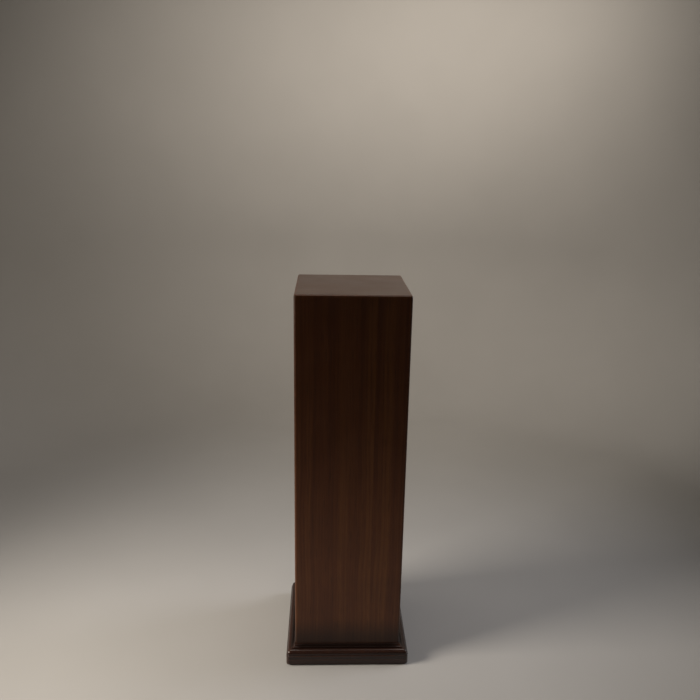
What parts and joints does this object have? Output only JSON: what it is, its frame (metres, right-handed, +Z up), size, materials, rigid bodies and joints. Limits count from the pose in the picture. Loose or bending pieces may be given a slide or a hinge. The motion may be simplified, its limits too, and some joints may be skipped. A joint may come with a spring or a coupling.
{
  "type": "display plinth",
  "caption": "Tall square wooden display plinth: mitred solid shaft with rounded edges, flush top, moulded base and low nylon glides.",
  "frame": {"origin": "on the floor, at the centre of the plinth's square footprint", "axes": "+Z up along the shaft, -Y towards the front face, +X to the right seen from the front"},
  "size_m": [0.296, 0.296, 0.914],
  "materials": {
    "stained_boards": "walnut-stained solid boards under satin lacquer, grain upright",
    "stained_moulding": "walnut-stained hardwood moulding under semi-gloss lacquer",
    "birch_plywood": "unfinished sanded plywood",
    "pine": "unfinished planed softwood",
    "zinc_steel": "bright zinc plate",
    "nylon": "moulded dark nylon"
  },
  "bodies": {
    "root": {"back_panel": "stained_boards", "base_moulding_back": "stained_moulding", "base_moulding_front": "stained_moulding", "base_moulding_left": "stained_moulding", "base_moulding_right": "stained_moulding", "bottom_board": "birch_plywood", "bottom_board_screws": "zinc_steel", "bottom_cleat_back": "pine", "bottom_cleat_front": "pine", "bottom_cleat_left": "pine", "bottom_cleat_right": "pine", "cleat_wall_screws": "zinc_steel", "corner_blocks_back_left": "pine", "corner_blocks_back_right": "pine", "corner_blocks_front_left": "pine", "corner_blocks_front_right": "pine", "front_panel": "stained_boards", "glide_back_left": "nylon", "glide_back_right": "nylon", "glide_front_left": "nylon", "glide_front_right": "nylon", "glide_nails": "zinc_steel", "left_panel": "stained_boards", "mitre_spline_back_left": "birch_plywood", "mitre_spline_back_right": "birch_plywood", "mitre_spline_front_left": "birch_plywood", "mitre_spline_front_right": "birch_plywood", "moulding_pins": "zinc_steel", "right_panel": "stained_boards", "top_cleat_back": "pine", "top_cleat_front": "pine", "top_cleat_left": "pine", "top_cleat_right": "pine", "top_panel": "stained_boards", "top_panel_screws": "zinc_steel"}
  },
  "joints": []
}
